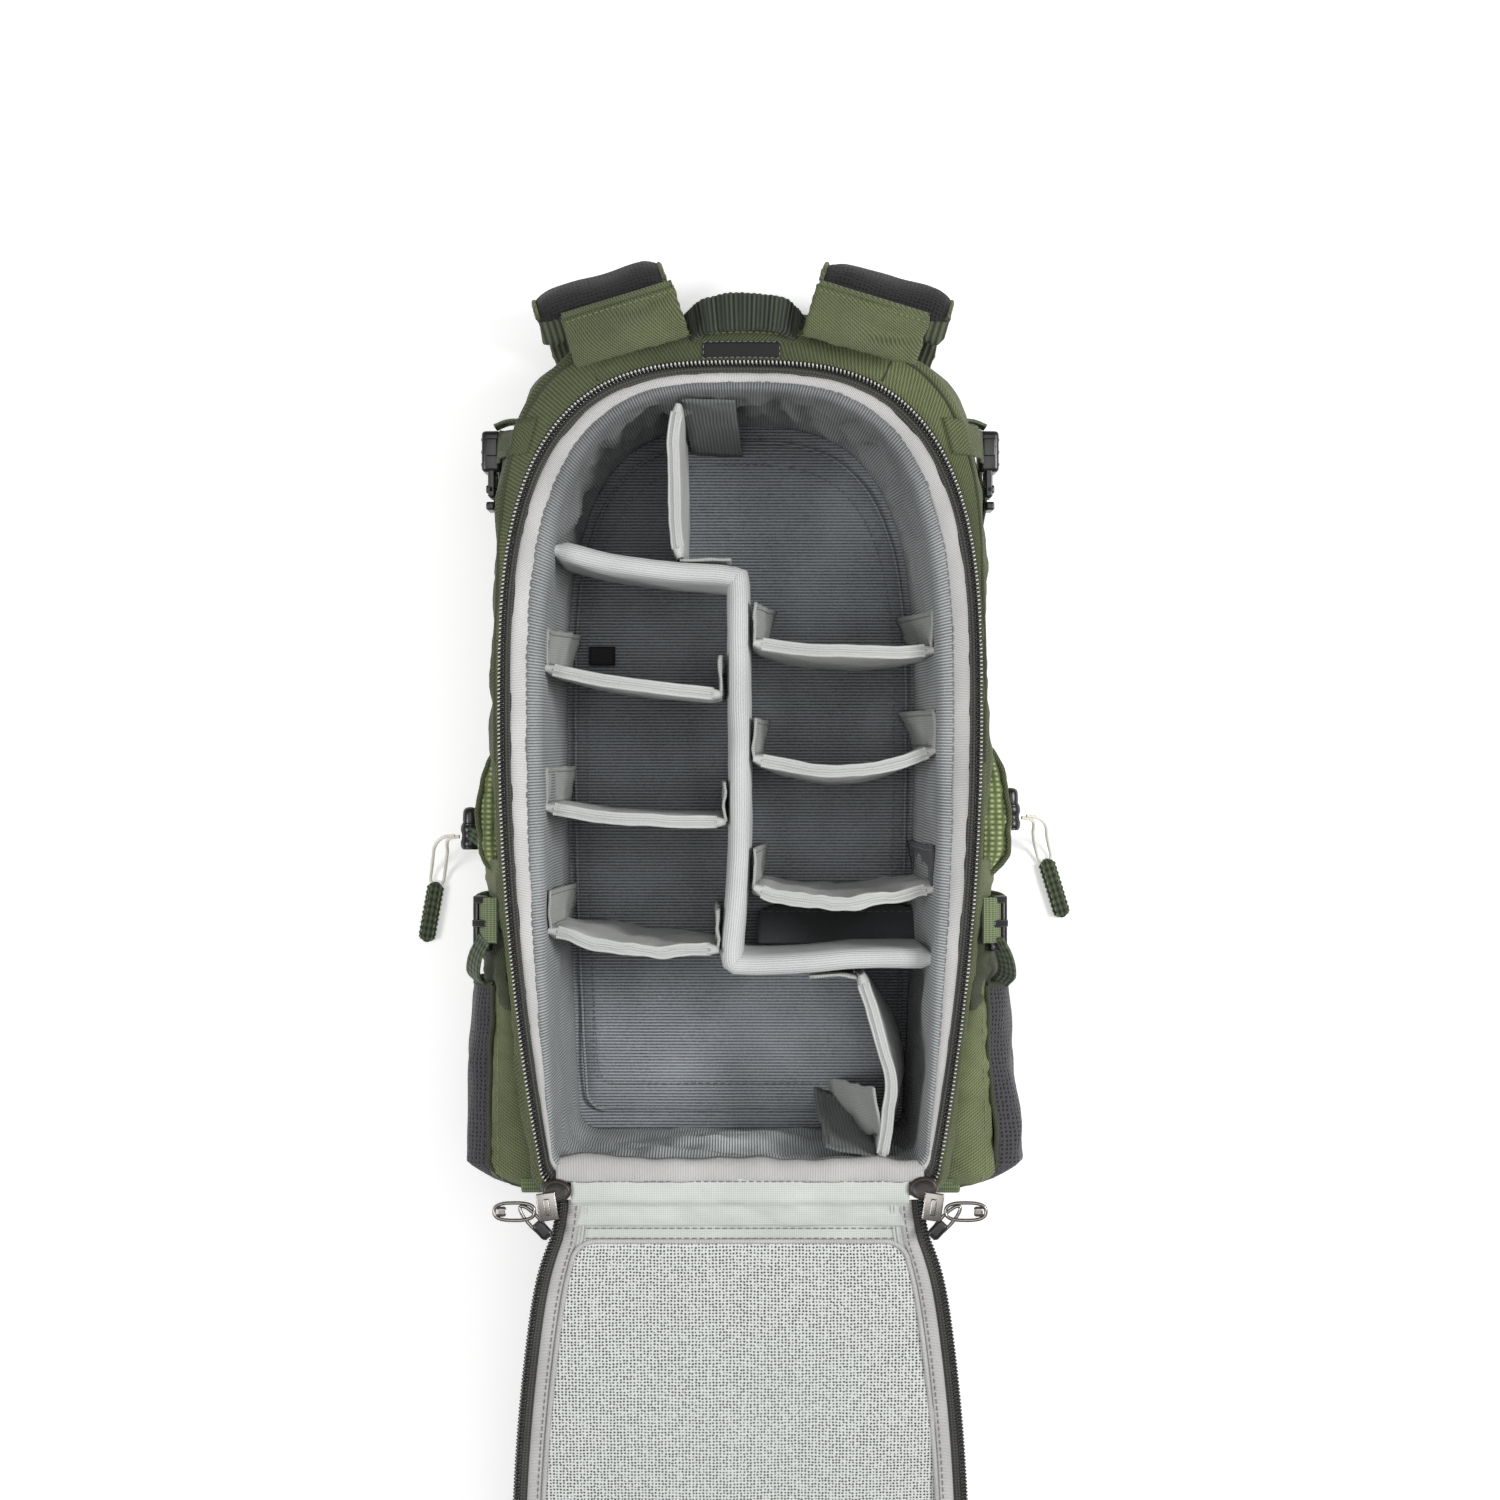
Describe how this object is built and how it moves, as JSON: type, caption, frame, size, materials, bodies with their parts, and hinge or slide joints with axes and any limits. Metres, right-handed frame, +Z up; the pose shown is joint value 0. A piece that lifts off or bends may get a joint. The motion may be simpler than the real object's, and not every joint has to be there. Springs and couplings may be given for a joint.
{
  "type": "camera backpack",
  "caption": "Rear-opening camera backpack lying on its front, zipped back panel folded open, padded interior with lift-out hook-and-loop dividers, side pockets and shoulder straps",
  "frame": {"origin": "on the flat underside of the stash pocket on the bag's front, on its centre line, where the bag rests", "axes": "+Z up, out of the open back; +Y to the top of the bag, where the handle is; +X to the right as seen from above"},
  "size_m": [0.3883, 0.9576, 0.1712],
  "materials": {
    "olive_fabric": "olive green nylon twill",
    "light_olive": "light olive webbing and open weave",
    "grey_lining": "grey ribbed loop lining",
    "slate_lining": "dark slate ribbed lining",
    "pale_fabric": "pale warm grey nylon over foam",
    "felt": "light grey brushed loop fabric over thick foam",
    "binding": "light grey ribbed grosgrain binding",
    "dark_tape": "dark zipper tape",
    "zip_teeth": "moulded zipper teeth",
    "air_mesh": "charcoal spacer mesh",
    "black_plastic": "moulded acetal",
    "nickel": "satin nickel plated zinc",
    "cream_cord": "cream elastic cord with a woven cover"
  },
  "bodies": {
    "root": {"body_zip_tape": "dark_tape", "body_zip_teeth": "zip_teeth", "buckle_socket_left": "black_plastic", "buckle_socket_right": "black_plastic", "compression_webbing_left": "light_olive", "compression_webbing_right": "light_olive", "cord_lock_barrel_left": "black_plastic", "cord_lock_barrel_right": "black_plastic", "cord_loop_left": "cream_cord", "cord_loop_right": "cream_cord", "cord_tab_left": "light_olive", "cord_tab_right": "light_olive", "foam_bottom": "grey_lining", "foam_floor": "slate_lining", "foam_left": "grey_lining", "foam_right": "grey_lining", "foam_top": "grey_lining", "front_panel": "olive_fabric", "front_pocket": "olive_fabric", "lower_webbing_left": "light_olive", "lower_webbing_right": "light_olive", "pocket_mesh_left": "air_mesh", "pocket_mesh_right": "air_mesh", "pocket_panel_left": "olive_fabric", "pocket_panel_right": "olive_fabric", "rim_binding": "binding", "shoulder_strap_left": "air_mesh", "shoulder_strap_right": "air_mesh", "side_mesh_left": "light_olive", "side_mesh_right": "light_olive", "side_wall_shell": "olive_fabric", "stash_pocket": "olive_fabric", "strap_flap_left": "olive_fabric", "strap_flap_right": "olive_fabric", "strap_webbing_left": "light_olive", "strap_webbing_right": "light_olive", "top_yoke": "olive_fabric"},
    "panel": {"panel_core": "olive_fabric", "panel_pad": "air_mesh", "panel_zip_tape": "dark_tape", "panel_zip_teeth": "zip_teeth", "panel_mesh_pocket": "air_mesh"},
    "handle": {"grab_handle": "light_olive"},
    "slider_left": {"slider_left": "nickel"},
    "pull_left": {"pull_left": "nickel"},
    "tongue_left": {"buckle_tongue_left": "black_plastic"},
    "button_left": {"cord_lock_button_left": "black_plastic"},
    "slider_right": {"slider_right": "nickel"},
    "pull_right": {"pull_right": "nickel"},
    "tongue_right": {"buckle_tongue_right": "black_plastic"},
    "button_right": {"cord_lock_button_right": "black_plastic"},
    "divider_main": {"divider_main": "felt"},
    "divider_top": {"divider_top": "pale_fabric"},
    "divider_bottom": {"divider_bottom": "pale_fabric"},
    "divider_left_1": {"divider_left_1": "pale_fabric"},
    "divider_left_2": {"divider_left_2": "pale_fabric"},
    "divider_left_3": {"divider_left_3": "pale_fabric"},
    "divider_right_1": {"divider_right_1": "pale_fabric"},
    "divider_right_2": {"divider_right_2": "pale_fabric"},
    "divider_right_3": {"divider_right_3": "pale_fabric"}
  },
  "joints": [
    {"name": "panel_hinge", "type": "hinge", "parent": "root", "child": "panel", "pos_m": [0, -0.2435, 0.153], "axis": [-1, 0, 0], "range_deg": [0, 196.5]},
    {"name": "slider_left_run", "type": "slide", "parent": "root", "child": "slider_left", "axis": [-0.1423, 0.9898, 0], "range_m": [0, 0.149]},
    {"name": "pull_left_lift", "type": "hinge", "parent": "slider_left", "child": "pull_left", "pos_m": [-0.11123, -0.24847, 0.1616], "axis": [-0.1423, 0.9898, 0], "range_deg": [0, 90]},
    {"name": "slider_right_run", "type": "slide", "parent": "root", "child": "slider_right", "axis": [0.1423, 0.9898, 0], "range_m": [0, 0.149]},
    {"name": "pull_right_lift", "type": "hinge", "parent": "slider_right", "child": "pull_right", "pos_m": [0.11123, -0.24847, 0.1616], "axis": [-0.1423, -0.9898, 0], "range_deg": [0, 90]},
    {"name": "divider_main_lift", "type": "slide", "parent": "root", "child": "divider_main", "axis": [0, 0, -1], "range_m": [-0.16, 0]},
    {"name": "divider_top_lift", "type": "slide", "parent": "root", "child": "divider_top", "axis": [0, 0, -1], "range_m": [-0.16, 0]},
    {"name": "divider_bottom_lift", "type": "slide", "parent": "root", "child": "divider_bottom", "axis": [0, 0, -1], "range_m": [-0.16, 0]},
    {"name": "divider_left_1_lift", "type": "slide", "parent": "root", "child": "divider_left_1", "axis": [0, 0, -1], "range_m": [-0.16, 0]},
    {"name": "divider_left_2_lift", "type": "slide", "parent": "root", "child": "divider_left_2", "axis": [0, 0, -1], "range_m": [-0.16, 0]},
    {"name": "divider_left_3_lift", "type": "slide", "parent": "root", "child": "divider_left_3", "axis": [0, 0, -1], "range_m": [-0.16, 0]},
    {"name": "divider_right_1_lift", "type": "slide", "parent": "root", "child": "divider_right_1", "axis": [0, 0, -1], "range_m": [-0.16, 0]},
    {"name": "divider_right_2_lift", "type": "slide", "parent": "root", "child": "divider_right_2", "axis": [0, 0, -1], "range_m": [-0.16, 0]},
    {"name": "divider_right_3_lift", "type": "slide", "parent": "root", "child": "divider_right_3", "axis": [0, 0, -1], "range_m": [-0.16, 0]},
    {"name": "handle_swing", "type": "hinge", "parent": "root", "child": "handle", "pos_m": [0.002, 0.24, 0.1425], "axis": [-1, 0, 0], "range_deg": [0, 75]},
    {"name": "buckle_left_release", "type": "slide", "parent": "root", "child": "tongue_left", "axis": [0, -1, 0], "range_m": [0, 0.03]},
    {"name": "cord_button_left_press", "type": "slide", "parent": "root", "child": "button_left", "axis": [0, -1, 0], "range_m": [0, 0.004], "stiffness_N_per_m": 100},
    {"name": "buckle_right_release", "type": "slide", "parent": "root", "child": "tongue_right", "axis": [0, -1, 0], "range_m": [0, 0.03]},
    {"name": "cord_button_right_press", "type": "slide", "parent": "root", "child": "button_right", "axis": [0, -1, 0], "range_m": [0, 0.004], "stiffness_N_per_m": 100}
  ]
}
